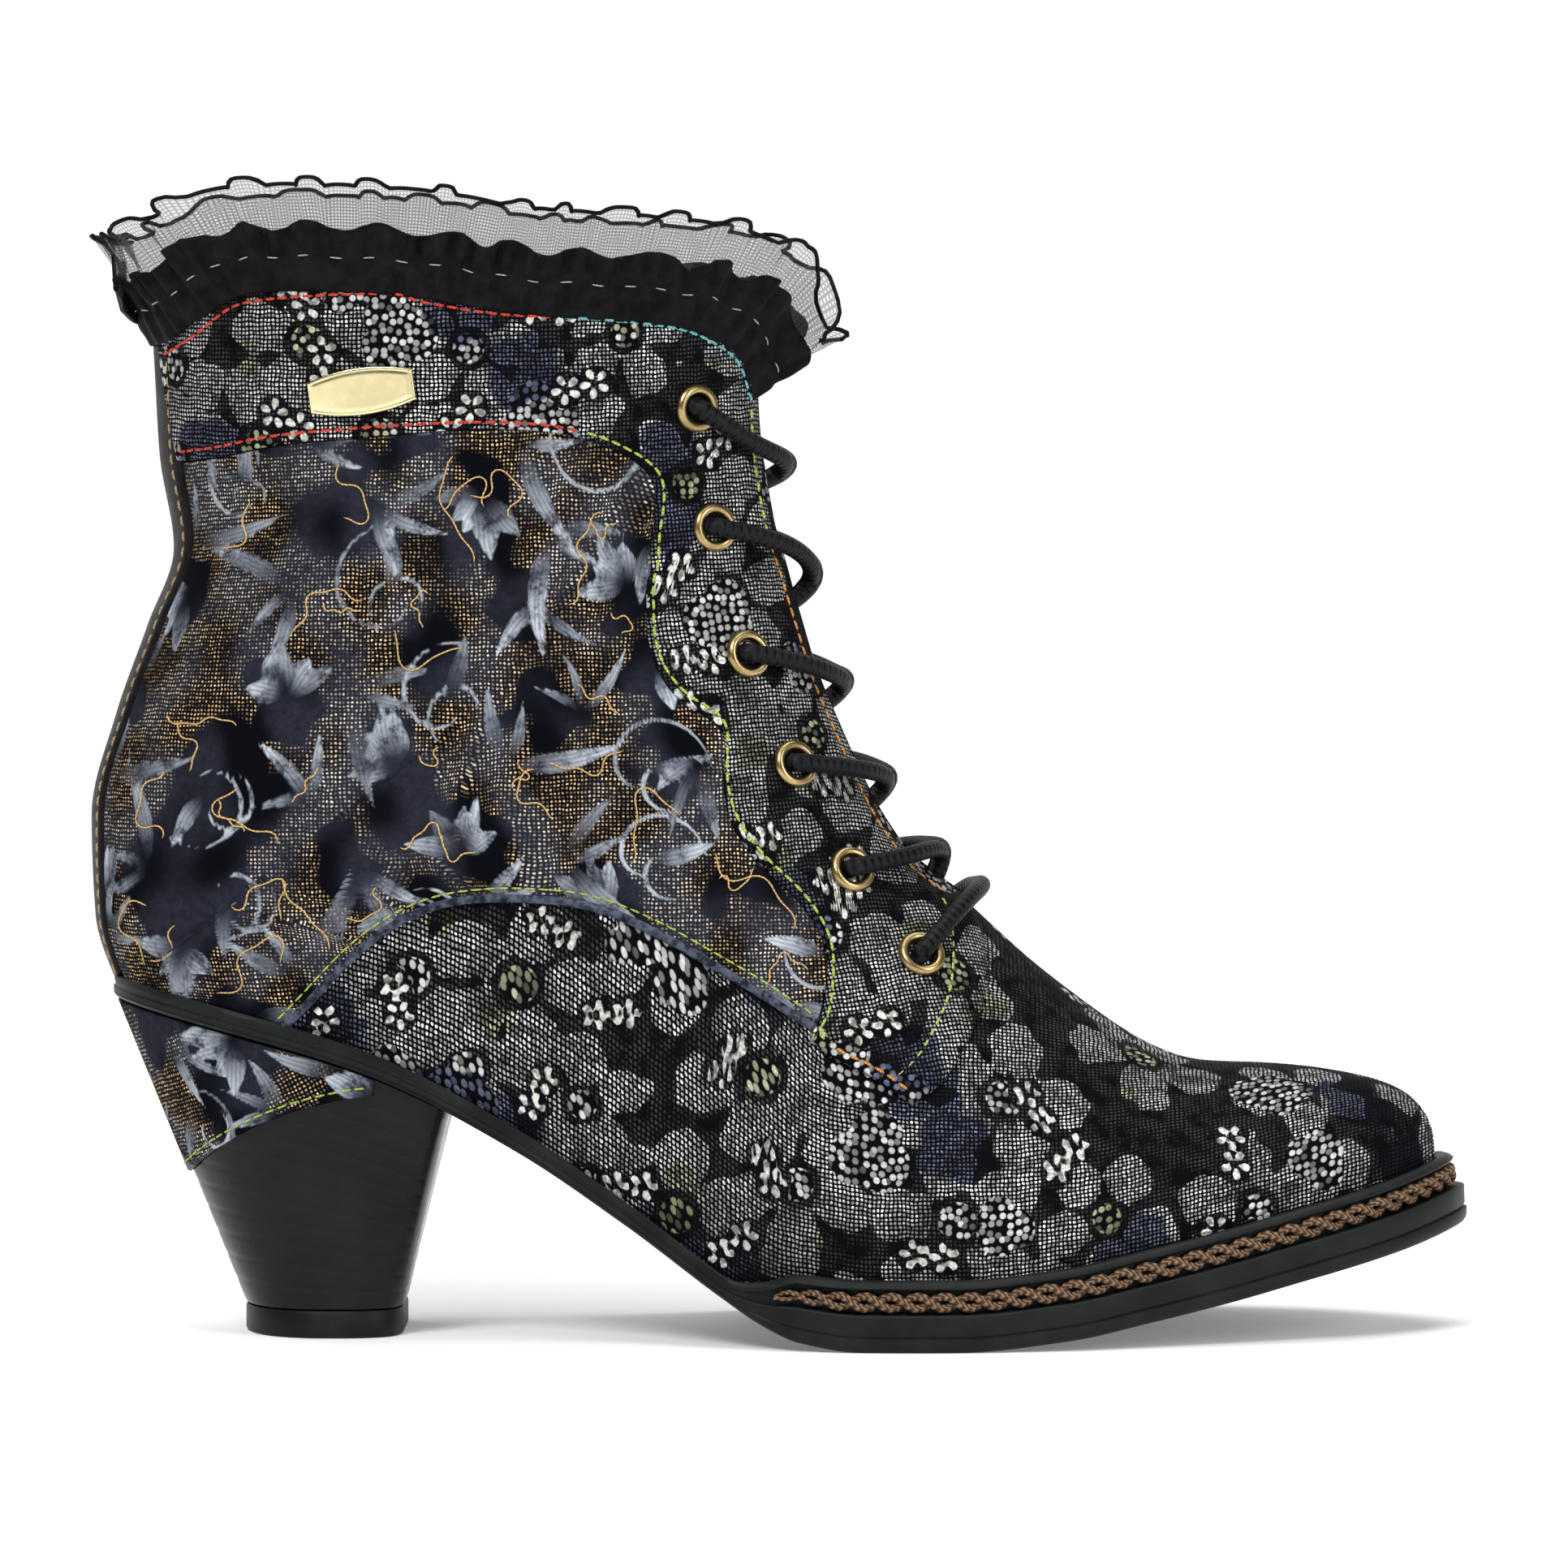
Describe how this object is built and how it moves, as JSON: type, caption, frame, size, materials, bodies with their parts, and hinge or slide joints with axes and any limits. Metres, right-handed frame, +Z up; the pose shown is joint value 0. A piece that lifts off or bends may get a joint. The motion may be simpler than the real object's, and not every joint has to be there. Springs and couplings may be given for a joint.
{
  "type": "victorian boot",
  "caption": "Lace-up ankle boot with a stacked block heel, brocade cuff and facings, a gathered frill round the collar and a cord round the forefoot edge.",
  "frame": {"origin": "on the floor, at the middle of the face that the heel stands on", "axes": "+Z up, +X from the heel towards the toe, +Y towards the medial side of the foot"},
  "size_m": [0.2508, 0.0924, 0.2083],
  "materials": {
    "upper": "matt woven",
    "brocade": "woven metallic brocade",
    "quarter": "velvety, matt",
    "backstrip": "satin",
    "lining": "matt woven",
    "insole": "matt",
    "rubber": "satin",
    "braid": "waxed cord",
    "heel": "gloss",
    "heel_cloth": "velvety, matt",
    "eyelet": "antique",
    "lace": "waxed",
    "frill": "matt ribbon",
    "organza": "sheer",
    "badge": "polished"
  },
  "bodies": {
    "root": {"backstrip": "backstrip", "badge": "badge", "braid": "braid", "eyelet_lateral_0": "eyelet", "eyelet_lateral_1": "eyelet", "eyelet_lateral_2": "eyelet", "eyelet_lateral_3": "eyelet", "eyelet_lateral_4": "eyelet", "eyelet_lateral_5": "eyelet", "eyelet_medial_0": "eyelet", "eyelet_medial_1": "eyelet", "eyelet_medial_2": "eyelet", "eyelet_medial_3": "eyelet", "eyelet_medial_4": "eyelet", "eyelet_medial_5": "eyelet", "eyestay_lateral": "brocade", "eyestay_medial": "brocade", "frill_band": "frill", "frill_organza": "organza", "heel": "heel", "heel_cover": "heel_cloth", "insole": "insole", "lace_bar": "lace", "lace_cross_0": "lace", "lace_cross_1": "lace", "lace_cross_2": "lace", "lace_cross_3": "lace", "lace_cross_4": "lace", "outsole": "rubber", "quarter_lateral": "quarter", "quarter_medial": "quarter", "tongue": "lining", "top_lift": "rubber", "upper": "upper"}
  },
  "joints": []
}
